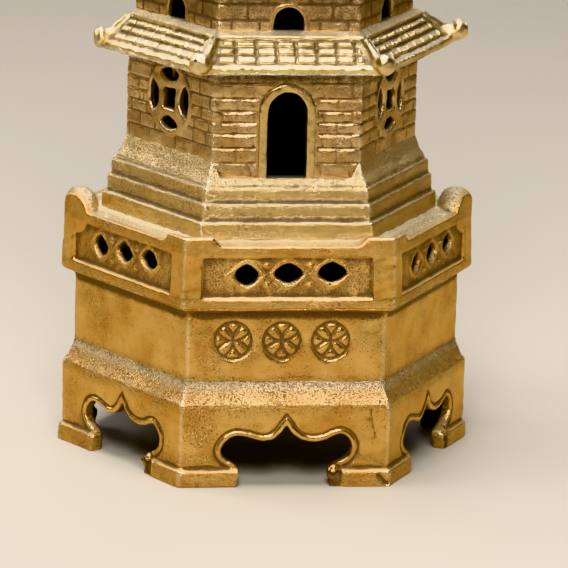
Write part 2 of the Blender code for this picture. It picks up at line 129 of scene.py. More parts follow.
def buildStudio():
    shape = bmesh.new()
    bmesh.ops.create_grid(shape, x_segments=1, y_segments=1, size=studio["floorSize"] / 2)
    floor = looseObject(shape, "floor")
    paint = bpy.data.materials.new("floorPaint")
    paint.use_nodes = True
    feed(paint.node_tree, paint.node_tree.nodes["Principled BSDF"],
         {"Base Color": studio["floorColour"], "Roughness": studio["floorRoughness"]})
    floor.data.materials.append(paint)
    world = bpy.data.worlds.new("room")
    world.use_nodes = True
    bpy.context.scene.world = world
    tree = world.node_tree
    # the camera sees a pale backdrop, and the brass mirrors a dim room
    dim = feed(tree, tree.nodes["Background"], {"Color": studio["roomColour"], "Strength": studio["roomStrength"]})
    seen = feed(tree, tree.nodes.new("ShaderNodeBackground"),
                {"Color": studio["skyColour"], "Strength": studio["skyStrength"]})
    rays = tree.nodes.new("ShaderNodeLightPath").outputs
    mix = feed(tree, tree.nodes.new("ShaderNodeMixShader"),
               {"Fac": rays["Is Camera Ray"], 1: dim["Background"], 2: seen["Background"]})
    feed(tree, tree.nodes["World Output"], {"Surface": mix["Shader"]})
    for light in studio["lights"]:
        softbox(*light)
    bpy.context.scene.view_settings.view_transform = "Khronos PBR Neutral"


placeCamera()
buildStudio()
print("camera and studio placed")


# shared shop tools
# the piece's mesh with its modifiers applied; the piece itself goes
def takeMesh(piece):
    bpy.context.view_layer.update()
    graph = bpy.context.evaluated_depsgraph_get()
    mesh = bpy.data.meshes.new_from_object(piece.evaluated_get(graph))
    bpy.data.objects.remove(piece, do_unlink=True)
    return mesh


# a closed profile of (corner radius, height) spun round the axis in six flats
def addRing(shape, profile):
    verts = [shape.verts.new((radius, 0, height)) for radius, height in profile]
    edges = [shape.edges.new((verts[i - 1], verts[i])) for i in range(len(verts))]
    bmesh.ops.spin(shape, geom=verts + edges, cent=(0, 0, 0), axis=(0, 0, 1), angle=math.tau, steps=6,
                   use_merge=True, use_duplicate=False)


def turnToSide(shape, verts, side):
    bmesh.ops.rotate(shape, verts=verts, cent=(0, 0, 0), matrix=Matrix.Rotation(side * sideAngle, 3, "Z"))


# an outline of (across, height) as a plate between two distances in front of the axis, on one side
def addPlate(shape, outline, near, far, side=0):
    verts = [shape.verts.new((across, -near, height)) for across, height in outline]
    face = shape.faces.new(verts)
    grown = bmesh.ops.extrude_face_region(shape, geom=[face])
    moved = [item for item in grown["geom"] if isinstance(item, bmesh.types.BMVert)]
    bmesh.ops.translate(shape, verts=moved, vec=(0, near - far, 0))
    turnToSide(shape, verts + moved, side)


def closeUp(shape):   # merges doubles, then turns the faces outwards
    bmesh.ops.remove_doubles(shape, verts=shape.verts, dist=1e-7)
    bmesh.ops.recalc_face_normals(shape, faces=shape.faces)


# a spun profile, with tubes laid on it if need be, as a loose body
def ringBody(name, profile, tubes=None):
    shape = bmesh.new()
    addRing(shape, profile)
    closeUp(shape)
    if tubes:
        shape.from_mesh(tubes)
    return looseObject(shape, name)


# the body with each side's outlines cut away between two distances in front of the axis
def cutAway(body, outlines, near, far):
    cutter = bmesh.new()
    for side, shapes in outlines.items():
        for outline in shapes:
            addPlate(cutter, outline, near, far, side)
    closeUp(cutter)
    tool = looseObject(cutter, "cutter")
    cut = body.modifiers.new("cut", "BOOLEAN")
    cut.operation = "DIFFERENCE"
    cut.solver = "EXACT"
    cut.object = tool
    mesh = takeMesh(body)
    bpy.data.objects.remove(tool, do_unlink=True)
    return newObject("body", mesh)


# the sharp body as one skin of small even faces with the soft edges of a sand casting
def pourCasting(body, voxel, soften):
    skin = body.modifiers.new("skin", "REMESH")
    skin.mode = "VOXEL"
    skin.voxel_size = voxel
    smooth = body.modifiers.new("soften", "SMOOTH")
    smooth.factor = 0.5
    smooth.iterations = soften
    return takeMesh(body)


# where the points of a mesh lie, and their normals
def readMesh(mesh):
    values = []
    for items, name in ((mesh.vertices, "co"), (mesh.vertex_normals, "vector")):
        flat = np.empty(len(items) * 3, np.float32)
        items.foreach_get(name, flat)
        values.append(flat.reshape(-1, 3).astype(float))
    return values


def writePoints(mesh, points):
    mesh.vertices.foreach_set("co", points.astype(np.float32).ravel())
    mesh.update()


def turnedBy(points, angle):
    cosine, sine = math.cos(angle), math.sin(angle)
    turned = points.copy()
    turned[:, 0] = points[:, 0] * cosine - points[:, 1] * sine
    turned[:, 1] = points[:, 0] * sine + points[:, 1] * cosine
    return turned


# pushes each side's outer skin along the side's normal by field(across, height, out, side), which also says
# how dark the carving stays, or None for dark where it is deep;
# lean is a roof slope's angle above level, and 0 for an upright wall
def workSides(mesh, field, lean=0.0, reach=0.45):
    points, normals = readMesh(mesh)
    carved = np.zeros(len(points), np.float32)
    push = np.array((0.0, -math.cos(lean), math.sin(lean)))
    for side in range(6):
        local = turnedBy(points, -side * sideAngle)
        facing = turnedBy(normals, -side * sideAngle) @ push
        out = -local[:, 1]
        within = np.abs(local[:, 0]) <= out * math.tan(sideAngle / 2) + 1e-6
        chosen = np.where((facing > reach) & (out > 0) & within)[0]
        fade = np.clip((facing[chosen] - reach) / (0.85 - reach), 0, 1)
        amount, dark = field(local[chosen, 0], local[chosen, 2], out[chosen], side)
        amount = amount * fade
        carved[chosen] = 1.3 * stepUp(-amount, 0.00022, 0.0005) if dark is None else dark * fade
        local[chosen] += amount[:, None] * push
        points[chosen] = turnedBy(local[chosen], side * sideAngle)
    writePoints(mesh, points)
    mesh.attributes.new("carved", "FLOAT", "POINT").data.foreach_set("value", carved)


# a smooth uneven field from a few waves of about one size
def ripple(points, seed, size):
    count = 10
    rng = np.random.default_rng(seed)
    total = np.zeros(len(points))
    for _ in range(count):
        way = rng.normal(size=3)
        way *= math.tau / (size * rng.uniform(0.7, 1.5)) / np.linalg.norm(way)
        total += np.sin(points @ way + rng.uniform(0, math.tau))
    return total / math.sqrt(count / 2)


# the slight waviness of a hand-finished casting
def handCast(mesh, seed, coarse, fine):
    points, normals = readMesh(mesh)
    swell = coarse * ripple(points, seed, 0.011) + fine * ripple(points, seed + 1, 0.0034)
    writePoints(mesh, points + normals * swell[:, None])


# averages values with their neighbours along the mesh's edges
def spread(values, first, second, weight, rounds):
    for _ in range(rounds):
        total = np.empty_like(values)
        for axis in range(values.shape[1]):
            total[:, axis] = (np.bincount(first, values[second, axis], len(values))
                              + np.bincount(second, values[first, axis], len(values))) / weight
        values = 0.5 * (values + total)
    return values


wearAndPaintedLightSizes = {"fine": 0.00012, "broad": 0.00045, "inside": 0.0008, "corner": (0.8680, 0.8800)}


# writes edge (proud places, worn bright, with painted highlight lines down the outer corners), hollow (low places
# painted dark as shade, with grime, each piece's painted shade and stains, and the carving's darkness), inside
# (facing the axis, later painted near-black as shade) and sand (as cast)
def markWearAndPaintedLight(mesh, core, coreTop, paintedShadeAndStain, sand):
    points, normals = readMesh(mesh)
    ends = np.empty(len(mesh.edges) * 2, np.int32)
    mesh.edges.foreach_get("vertices", ends)
    first, second = ends[0::2], ends[1::2]
    weight = np.maximum(np.bincount(ends, minlength=len(points)), 1)
    near = spread(points, first, second, weight, 10)
    far = spread(near, first, second, weight, 60)
    fine = np.einsum("ij,ij->i", points - near, normals) / wearAndPaintedLightSizes["fine"]
    broad = np.einsum("ij,ij->i", points - far, normals) / wearAndPaintedLightSizes["broad"]
    middle = np.max([-turnedBy(points, -side * sideAngle)[:, 1] for side in range(6)], axis=0)
    away = np.hypot(*points.T[:2])
    inward = -np.einsum("ij,ij->i", points[:, :2], normals[:, :2]) / np.maximum(away, 1e-6)
    band = wearAndPaintedLightSizes["inside"]
    within = np.maximum((core * cornerToSide + band - middle) / band, (inward - 0.5) / 0.2)
    within = np.clip(within, 0, 1) * (points[:, 2] < coreTop)
    wearAndPaintedLightMarks = spread(np.stack([fine, -0.5 * fine - broad, within], axis=1), first, second, weight, 4)
    # a painted highlight line down each outer corner of the hexagon
    corner = 1 - stepUp(middle / np.maximum(away, 1e-6), *wearAndPaintedLightSizes["corner"])
    wearAndPaintedLightMarks[:, 0] += 0.9 * corner * (away > core + 0.001)
    # painted shade and stains that each piece passes in
    if paintedShadeAndStain is not None:
        wearAndPaintedLightMarks[:, 1] += paintedShadeAndStain(points, middle)
    if "carved" in mesh.attributes:
        carved = np.empty(len(points), np.float32)
        mesh.attributes["carved"].data.foreach_get("value", carved)
        wearAndPaintedLightMarks[:, 1] += carved
        mesh.attributes.remove(mesh.attributes["carved"])
    rawness = np.zeros(len(points)) if sand is None else sand(points, middle)
    for name, values in zip(("edge", "hollow", "inside", "sand"), (*wearAndPaintedLightMarks.T, rawness)):
        layer = mesh.attributes.new(name, "FLOAT", "POINT")
        layer.data.foreach_set("value", np.clip(values, -2, 2).astype(np.float32))


# marks the wear with its painted shade and highlights, thins the even skin to a number of triangles, and hands the
# piece to the frame
def finishPiece(name, mesh, triangles, material, nodes, core, coreTop=1.0, paintedShadeAndStain=None, sand=None):
    markWearAndPaintedLight(mesh, core, coreTop, paintedShadeAndStain, sand)
    piece = newObject(name, mesh)
    full = sum(len(face.vertices) - 2 for face in mesh.polygons)
    if full > triangles:
        thin = piece.modifiers.new("thin", "DECIMATE")
        thin.ratio = triangles / full
        mesh = takeMesh(piece)
        piece = newObject(name, mesh)
    mesh.name = name
    mesh.materials.clear()
    mesh.materials.append(material)
    mesh.polygons.foreach_set("use_smooth", [True] * len(mesh.polygons))
    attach(piece, "root")
    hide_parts(*nodes)
    print("made", name, len(mesh.polygons), "faces")


# a Catmull-Rom line through points
def smoothLine(points):
    line = []
    for index in range(len(points) - 1):
        start, end = Vector(points[index]), Vector(points[index + 1])
        before = Vector(points[index - 1]) if index else start
        after = Vector(points[index + 2]) if index + 2 < len(points) else end
        for step in range(6):
            t = step / 6
            spot = 0.5 * ((2 * start) + (end - before) * t + (2 * before - 5 * start + 4 * end - after) * t * t
                          + (3 * start - 3 * end + after - before) * t ** 3)
            line.append(tuple(spot))
    return line + [tuple(points[-1])]


# how far each spot lies from a line of points
def lineDistance(across, height, line):
    nearest = np.full(across.shape, 1.0)
    for (ax, az), (bx, bz) in zip(line, line[1:]):
        dx, dz = bx - ax, bz - az
        along = np.clip(((across - ax) * dx + (height - az) * dz) / max(dx * dx + dz * dz, 1e-12), 0, 1)
        nearest = np.minimum(nearest, np.hypot(across - ax - along * dx, height - az - along * dz))
    return nearest


# 1 at no distance, falling softly to 0 at width
def ridgeOf(distance, width):
    return np.clip(1 - (distance / width) ** 2, 0, 1) ** 2


# rises softly from 0 at start to 1 at end
def stepUp(value, start, end):
    t = np.clip((value - start) / (end - start), 0, 1)
    return t * t * (3 - 2 * t)


# rises softly to 1 at full, and falls to 0 again from fade to end
def bandOf(value, start, full, fade, end):
    return stepUp(value, start, full) * (1 - stepUp(value, fade, end))


# corners of an upright rectangle, for a ring's profile or an outline
def oblong(left, right, low, high):
    return [(right, high), (right, low), (left, low), (left, high)]


# 1 round a spot on a piece, falling to 0 at its reach along each axis
def blot(points, centre, reach):
    away = np.linalg.norm((points - np.array(centre)) / np.array(reach), axis=1)
    return 1 - stepUp(away, 0.6, 1.0)


# finishes
def newGroup(name, inputs, outputs):
    group = bpy.data.node_groups.new(name, "ShaderNodeTree")
    for label, value in inputs.items():
        group.interface.new_socket(label, in_out="INPUT", socket_type="NodeSocketFloat").default_value = value
    for label in outputs:
        group.interface.new_socket(label, in_out="OUTPUT", socket_type="NodeSocketFloat")
    return group, group.nodes.new("NodeGroupInput"), group.nodes.new("NodeGroupOutput")


def noiseOf(tree, place, scale, detail, rough):
    node = tree.nodes.new("ShaderNodeTexNoise")
    return feed(tree, node, {"Vector": place, "Scale": scale, "Detail": detail, "Roughness": rough})["Fac"]


def rangeOf(tree, value, low, high, toLow=0.0, toHigh=1.0, soft=False):
    node = tree.nodes.new("ShaderNodeMapRange")
    node.interpolation_type = "SMOOTHSTEP" if soft else "LINEAR"
    values = {"Value": value, "From Min": low, "From Max": high, "To Min": toLow, "To Max": toHigh}
    return feed(tree, node, values)["Result"]


def mathOf(tree, operation, first, second):
    node = tree.nodes.new("ShaderNodeMath")
    node.operation = operation
    return feed(tree, node, {0: first, 1: second})["Value"]


def blendOf(tree, amount, first, second):
    node = tree.nodes.new("ShaderNodeMix")
    node.data_type = "RGBA"
    colours = [index for index, socket in enumerate(node.inputs) if socket.type == "RGBA"]
    outputs = feed(tree, node, {0: amount, colours[0]: first, colours[1]: second})
    return [socket for socket in outputs if socket.type == "RGBA"][0]


# sand-cast grain in two sizes, slow mottling and patches, and small dark specks, on the object's own metres
def sandSkinGroup():
    group, source, result = newGroup("sandSkin", {"Grain Size": 0.0009, "Mottle Size": 0.010},
                                     ("Grain", "Fine", "Mottle", "Patches", "Specks"))
    place = group.nodes.new("ShaderNodeTexCoord").outputs["Object"]
    grain, mottle = (mathOf(group, "DIVIDE", 1.0, size) for size in source.outputs[:2])
    layers = {"Grain": (grain, 3.5, 0.72), "Fine": (2400.0, 2.0, 0.6), "Mottle": (mottle, 5.0, 0.62),
              "Patches": (80.0, 3.0, 0.5), "Specks": (1900.0, 1.0, 0.5)}
    feed(group, result, {label: noiseOf(group, place, *layer) for label, layer in layers.items()})
    return group


# where handling has brightened the casting, with painted highlights on edges; where shade is painted darker and
# grime stays; what faces up, what is inside and what is left raw
def wearAndPaintedLightGroup():
    group, source, result = newGroup(
        "wearAndPaintedLight", {"Edge Start": 0.8, "Edge End": 2.0, "ShadeAndGrime Start": 0.25, "ShadeAndGrime End": 1.6, "Unevenness": 0.9},
        ("Edges", "ShadeAndGrime", "Upward", "Dust", "Inside", "Sand"))

    def attribute(name):
        node = group.nodes.new("ShaderNodeAttribute")
        node.attribute_name = name
        return node.outputs["Fac"]

    place = group.nodes.new("ShaderNodeTexCoord").outputs["Object"]
    uneven = mathOf(group, "SUBTRACT", noiseOf(group, place, 620.0, 4.0, 0.7), 0.5)
    uneven = mathOf(group, "MULTIPLY", uneven, source.outputs["Unevenness"])
    edge, shadeAndGrime = (rangeOf(group, mathOf(group, "ADD", attribute(name), uneven),
                           source.outputs[label + " Start"], source.outputs[label + " End"], soft=True)
                   for name, label in (("edge", "Edge"), ("hollow", "ShadeAndGrime")))
    split = group.nodes.new("ShaderNodeSeparateXYZ")
    group.links.new(group.nodes.new("ShaderNodeNewGeometry").outputs["Normal"], split.inputs["Vector"])
    rise = split.outputs["Z"]
    handledAndLit = rangeOf(group, rise, -0.2, 0.3, 0.3, 1.0)   # edges facing up stay brighter: hands reach them more, and this also paints on them the highlight of the light from above
    level = rangeOf(group, rise, 0.55, 0.92)
    feed(group, result, {"Edges": mathOf(group, "MULTIPLY", edge, handledAndLit), "ShadeAndGrime": shadeAndGrime,
                         "Upward": rangeOf(group, rise, 0.45, 0.90),
                         "Dust": mathOf(group, "MULTIPLY", level, mathOf(group, "SUBTRACT", 1.0, edge)),
                         "Inside": attribute("inside"), "Sand": attribute("sand")})
    return group


sandSkin = sandSkinGroup()
wearAndPaintedLight = wearAndPaintedLightGroup()

finishes = {
    "satinBrass": {"gold": (0.66, 0.422, 0.146, 1), "amber": (0.55, 0.300, 0.090, 1),
                   "patina": (0.15, 0.080, 0.048, 1), "bright": (1.0, 0.88, 0.55, 1),
                   "frostAndSheen": (0.90, 0.88, 0.70, 1), "shadeAndGrime": (0.12, 0.070, 0.038, 1),
                   "roughness": 0.23, "grain": 0.00045, "raw": 0.05, "patches": 0.35, "specks": 0.7,
                   "dust": 0.12, "upwardFrostAndSheen": 0.25},
    "tarnishedBrass": {"gold": (0.64, 0.455, 0.225, 1), "amber": (0.46, 0.285, 0.12, 1),
                       "patina": (0.15, 0.090, 0.075, 1), "bright": (1.0, 0.95, 0.74, 1),
                       "frostAndSheen": (0.92, 0.84, 0.62, 1), "shadeAndGrime": (0.10, 0.062, 0.038, 1),
                       "roughness": 0.23, "grain": 0.00042, "raw": 0.16, "patches": 0.50, "specks": 0.6,
                       "dust": 0.3, "upwardFrostAndSheen": 0.7},
    "stepBrass": {"gold": (0.65, 0.478, 0.215, 1), "amber": (0.59, 0.420, 0.172, 1),
                  "patina": (0.16, 0.100, 0.085, 1), "bright": (1.0, 0.96, 0.80, 1),
                  "frostAndSheen": (0.92, 0.92, 0.90, 1), "shadeAndGrime": (0.12, 0.078, 0.05, 1),
                  "roughness": 0.20, "grain": 0.00055, "raw": 0.09, "patches": 0.30, "specks": 0.6, "dust": 0.1,
                  "upwardFrostAndSheen": 0.35},
    # paler than the other brasses on the roofs and the deck: partly frosted skin, partly a painted sheen of the
    # light from above on these upward faces
    "paleBrass": {"gold": (0.78, 0.62, 0.33, 1), "amber": (0.66, 0.48, 0.20, 1),
                  "patina": (0.22, 0.15, 0.10, 1), "bright": (1.0, 0.96, 0.80, 1),
                  "frostAndSheen": (0.98, 0.93, 0.78, 1), "shadeAndGrime": (0.13, 0.085, 0.050, 1),
                  "roughness": 0.30, "grain": 0.00050, "raw": 0.14, "patches": 0.30, "specks": 0.4, "dust": 0.18,
                  "upwardFrostAndSheen": 0.75},
}


def brassFinish(name, look):
    material = bpy.data.materials.new(name)
    material.use_nodes = True
    tree = material.node_tree

    def maths(operation):
        return lambda first, second: mathOf(tree, operation, first, second)

    def mask(value, low, high, toLow=0.0, toHigh=1.0):
        return rangeOf(tree, value, low, high, toLow, toHigh)

    add, minus, times, larger = (maths(name) for name in ("ADD", "SUBTRACT", "MULTIPLY", "MAXIMUM"))
    skin, wearAndPaintedLightMarks = tree.nodes.new("ShaderNodeGroup"), tree.nodes.new("ShaderNodeGroup")
    skin.node_tree, wearAndPaintedLightMarks.node_tree = sandSkin, wearAndPaintedLight
    skin.inputs["Grain Size"].default_value = look["grain"]
    grain, fine, mottle, patches, spots = skin.outputs
    edges, shadeAndGrime, upward, level, inside, sand = wearAndPaintedLightMarks.outputs
    # how raw the skin is: most where it was left as cast, least on the dressed sides
    raw = add(times(sand, 0.8), times(shadeAndGrime, 0.5))
    raw = mask(add(raw, add(mask(patches, 0.42, 0.66, 0.0, look["patches"]), look["raw"])), 0.0, 1.0)
    # painted glints: grain peaks on the raw skin turn a bright colour
    paintedGlints = times(times(mask(grain, 0.55, 0.63), raw), add(times(sand, 0.6), 0.15))
    specks = times(mask(minus(spots, mask(raw, 0.0, 0.7, 0.72, 0.54)), 0.0, 0.05), look["specks"])
    body = blendOf(tree, mask(mottle, 0.38, 0.64), look["gold"], look["amber"])
    for amount, colour in (
            # the as-cast skin and the faces turned up go toward a pale colour: partly the frosted skin, partly a
            # painted sheen of the light from above
            (mask(sand, 0.5, 1.0, 0.0, 0.6), look["frostAndSheen"]),
            (times(upward, look["upwardFrostAndSheen"]), look["frostAndSheen"]),
            (times(times(mask(grain, 0.47, 0.38), raw), 0.85), look["patina"]),
            (paintedGlints, look["bright"]),
            (specks, look["patina"]),
            # painted shade in hollows, creases and under overhangs, together with grime
            (times(shadeAndGrime, 0.8), look["shadeAndGrime"]),
            # worn bright edges, partly painted highlight lines on edges facing up and down the corners
            (times(edges, 0.45), look["bright"]),
            # inner surfaces painted near-black as the shade inside the hollow casting
            (inside, (0.005, 0.0035, 0.002, 1))):
        body = blendOf(tree, amount, body, colour)
    dust = times(level, mask(grain, 0.36, 0.62, 0.35, 1.0))
    rough = add(add(times(raw, 0.06), look["roughness"]), times(larger(shadeAndGrime, dust), 0.20))
    rough = larger(minus(rough, times(edges, 0.08)), times(inside, 0.8))
    height = times(add(times(grain, 0.8), times(fine, 0.5)),
                   add(add(raw, times(sand, 0.6)), add(times(upward, 0.4), 0.02)))
    bump = feed(tree, tree.nodes.new("ShaderNodeBump"),
                {"Strength": 1.0, "Distance": 0.00031, "Height": minus(height, times(specks, 0.2))})
    feed(tree, tree.nodes["Principled BSDF"],
         {"Base Color": body, "Roughness": rough, "Metallic": minus(1.0, times(dust, look["dust"])),
          "Normal": bump["Normal"], "Specular Tint": (0.95, 0.82, 0.58, 1)})   # golden also where seen edge-on
    return material


satinBrass, tarnishedBrass, stepBrass, paleBrass = [brassFinish(name, look) for name, look in finishes.items()]
print("finishes mixed")


# base apron on its six feet
pedestalInner = 0.0568
apron = {"footRadius": 0.0652, "footHeight": 0.0050, "radius": 0.0640, "top": 0.0256, "inner": 0.0600,
         "shoulder": 0.0606, "shoulderTop": 0.0328, "voxel": 0.00045, "soften": 5, "triangles": 90000,
         "grooveOffset": 0.0020, "grooveWidth": 0.0007, "grooveDepth": 0.0007, "groovePeak": (0.0005, 0.0227),
         "grooveEnds": (0.0062, 0.0056), "cut": (0.0440, 0.0640), "toe": (0.0152, 0.0052), "padBack": 0.0010,
         "crack": ((0.0262, 0.0246), (0.0265, 0.0222), (0.0268, 0.0201), (0.0274, 0.0177), (0.0280, 0.0155)),
         "chip": ((0.0290, 0.0036), (0.0312, 0.0012), (0.0330, 0.0010))}
archRight = [(0.0005, 0.0195), (0.0022, 0.0170), (0.0052, 0.0149), (0.0088, 0.0142), (0.0125, 0.0147),
             (0.0152, 0.0160), (0.0178, 0.0163), (0.0200, 0.0146), (0.0207, 0.0119), (0.0192, 0.0091),
             (0.0160, 0.0074), (0.0138, 0.0060), (0.0131, 0.0042), (0.0139, 0.0018), (0.0150, -0.0030)]
archLeft = [(0.0005, 0.0195), (-0.0012, 0.0171), (-0.0038, 0.0149), (-0.0072, 0.0144), (-0.0110, 0.0154),
            (-0.0150, 0.0159), (-0.0178, 0.0145), (-0.0195, 0.0117), (-0.0186, 0.0092), (-0.0163, 0.0076),
            (-0.0144, 0.0062), (-0.0138, 0.0046), (-0.0143, 0.0020), (-0.0150, -0.0030)]


# a line moved to its left by a distance, for the incised line beside an edge
def offsetLine(line, distance):
    moved = []
    for index, (x, z) in enumerate(line):
        ax, az = line[max(index - 1, 0)]
        bx, bz = line[min(index + 1, len(line) - 1)]
        length = math.hypot(bx - ax, bz - az)
        moved.append((x - (bz - az) / length * distance, z + (bx - ax) / length * distance))
    return moved


def makeApron():
    top, foot = apron["top"], apron["footHeight"]
    body = ringBody("apronBody", [
        (apron["shoulder"], apron["shoulderTop"]), (apron["shoulder"] + 0.0006, 0.0306),
        (apron["radius"] - 0.0012, top + 0.0016), (apron["radius"], top), (apron["radius"], foot),
        (apron["footRadius"], foot), (apron["footRadius"], 0.0), (apron["inner"], 0.0),
        (apron["inner"], top - 0.001), (pedestalInner, apron["shoulderTop"])])
    rightLine, leftLine = smoothLine(archRight), smoothLine(archLeft)
    body = cutAway(body, dict.fromkeys(range(6), [rightLine + leftLine[::-1][:-1]]), *apron["cut"])
    mesh = pourCasting(body, apron["voxel"], apron["soften"])
    # the incised line runs beside the arch from a peak of its own to the feet
    peak, offset, ends = apron["groovePeak"], apron["grooveOffset"], apron["grooveEnds"]
    rightGroove = [spot for spot in offsetLine(rightLine, offset) if spot[0] > peak[0] and spot[1] > ends[0]]
    leftGroove = [spot for spot in offsetLine(leftLine, -offset) if spot[0] < peak[0] and spot[1] > ends[1]]

    def carving(across, height, out, side):
        near = np.minimum(*(lineDistance(across, height, [peak] + groove) for groove in (rightGroove, leftGroove)))
        amount = -apron["grooveDepth"] * ridgeOf(near, apron["grooveWidth"])
        # on each side's right foot the pad gives way to a small round toe
        onFoot = 1 - stepUp(height, 0.0050, 0.0058)
        toe = np.hypot(across - apron["toe"][0], height - apron["toe"][1])
        amount -= apron["padBack"] * (1 - stepUp(across, 0.0166, 0.0188)) * stepUp(across, 0.0, 0.004) * onFoot
        amount += 0.0009 * (1 - stepUp(toe, 0.0007, 0.0013)) - 0.0005 * ridgeOf(toe - 0.0019, 0.0007)
        amount -= 0.0003 * ridgeOf(height - 0.0061, 0.0007)
        if side == 0:
            amount -= 0.0004 * ridgeOf(lineDistance(across, height, apron["crack"]), 0.0005)
            amount -= 0.0008 * ridgeOf(lineDistance(across, height, apron["chip"]), 0.0012)
        return amount, None

    def sand(points, middle):
        high = points[:, 2]
        under = (0.35 * stepUp(high, 0.0215, 0.0245) + 0.4 * (1 - stepUp(high, 0.0050, 0.0140))
                 + 0.35 * blot(points, (-0.0265, -0.0554, 0.0190), (0.0060, 0.0030, 0.0080)))
        shoulder = 0.55 + 0.25 * stepUp(high, 0.0285, 0.0310)
        return np.where(high > 0.0254, shoulder, np.clip(under, 0, 0.5))

    # darker towards the feet and in a band along the top edge of the apron's face
    def paintedShadeAndStain(points, middle):
        return 0.3 * (1 - stepUp(points[:, 2], 0.0040, 0.0110)) + 0.35 * ridgeOf(points[:, 2] - 0.0252, 0.0020)

    workSides(mesh, carving)
    handCast(mesh, 11, 0.00008, 0.00004)
    finishPiece("apronCasting", mesh, apron["triangles"], satinBrass, ["base_apron"],
                apron["inner"], paintedShadeAndStain=paintedShadeAndStain, sand=sand)


makeApron()


# pedestal wall
pedestal = {"radius": 0.0605, "inner": pedestalInner, "bottom": 0.0318, "corniceFoot": 0.0530, "cornice": 0.0542,
            "lip": 0.0646, "lipFoot": 0.0556, "top": 0.0562, "voxel": 0.0005, "triangles": 60000,
            "motifs": (-0.0163, -0.0013, 0.0137), "motifLevel": 0.0452, "motifRadius": 0.0056,
            "motifDepth": 0.0006, "motifWidth": 0.0009}


def makePedestal():
    lip, radius, inner = pedestal["lip"], pedestal["radius"], pedestal["inner"]
    body = ringBody("pedestalBody", [
        (lip, pedestal["top"]), (lip, pedestal["lipFoot"]), (radius + 0.0006, pedestal["cornice"]),
        (radius, pedestal["corniceFoot"]), (radius, pedestal["bottom"]), (inner, pedestal["bottom"]),
        (inner, pedestal["top"])])
    mesh = pourCasting(body, pedestal["voxel"], 4)
    ring = pedestal["motifRadius"]

    def carving(across, height, out, side):
        amount = 0.00012 * np.sin(across * 130 + 1.1) * np.sin(height * 260)
        if side == 0:
            cut = np.full(across.shape, 1.0)
            for centre in pedestal["motifs"]:
                x, z = across - centre, height - pedestal["motifLevel"]
                cut = np.minimum(cut, np.abs(np.hypot(x, z) - ring))
                for quarter in range(4):
                    turn = quarter * math.pi / 2
                    petal = np.abs(np.hypot(x - ring * math.cos(turn), z - ring * math.sin(turn)) - ring)
                    cut = np.where(np.hypot(x, z) < ring, np.minimum(cut, petal), cut)
            amount -= pedestal["motifDepth"] * ridgeOf(cut, pedestal["motifWidth"])
        return amount, None

    workSides(mesh, carving)
    handCast(mesh, 21, 0.00005, 0.00002)

    def sand(points, middle):
        high = points[:, 2]
        amount = 0.5 * stepUp(high, 0.0500, 0.0545) + 0.4 * (1 - stepUp(high, 0.0325, 0.0345))
        return np.maximum(amount, 0.35 * blot(points, (-0.0235, -0.0524, 0.0415), (0.0055, 0.0030, 0.0085)))

    # painted shade in a band under the cornice's overhang, and a thin dark line just above the shoulder
    def paintedShadeAndStain(points, middle):
        high = points[:, 2]
        return 0.9 * ridgeOf(high - pedestal["corniceFoot"], 0.0022) + 0.4 * ridgeOf(high - 0.0326, 0.0016)

    finishPiece("pedestalCasting", mesh, pedestal["triangles"], satinBrass, ["pedestal_wall"],
                pedestal["inner"], paintedShadeAndStain=paintedShadeAndStain, sand=sand)


makePedestal()


# railing with its pierced panels
railing = {"radius": 0.0650, "topRadius": 0.0643, "inner": 0.0612, "bottom": 0.0561, "top": 0.0753, "lug": 0.0779,
           "lugInner": 0.0615, "lugWidth": 0.0094, "lugSlope": 0.0024, "flare": 0.0560, "flareFoot": 0.0736,
           "flareTop": 0.0746, "recess": (-0.0266, 0.0256, 0.0593, 0.0720), "recessDepth": 0.0011,
           "holes": ((-0.0129, 0.0664, 0.0072, 0.0068), (-0.0002, 0.0669, 0.0086, 0.0062),
                     (0.0131, 0.0672, 0.0086, 0.0062)), "swell": 1.5, "holeCut": (0.0490, 0.0600),
           "topCut": (0.0440, 0.0680), "rim": (0.0108, 0.0086, 1.2), "rimDrop": 0.0003, "rimProud": 0.00042,
           "studsAcross": (-0.0068, 0.0062), "studsHigh": (0.0692, 0.0632), "studProud": 0.0008,
           "lumpPlace": (0.0593, 0.0, 0.0740), "lumpSize": (0.0060, 0.0104, 0.0073), "coreTop": 0.0722,
           "voxel": 0.00042, "triangles": 120000}


# a lozenge with swelling sides and four blunt points
def lozenge(centre, width, height, swell):
    points = []
    for step in range(16):
        cosine, sine = math.cos(step * math.tau / 16), math.sin(step * math.tau / 16)
        reach = (abs(cosine) ** swell + abs(sine) ** swell) ** (-1 / swell)
        points.append((centre[0] + width / 2 * cosine * reach, centre[1] + height / 2 * sine * reach))
    return points


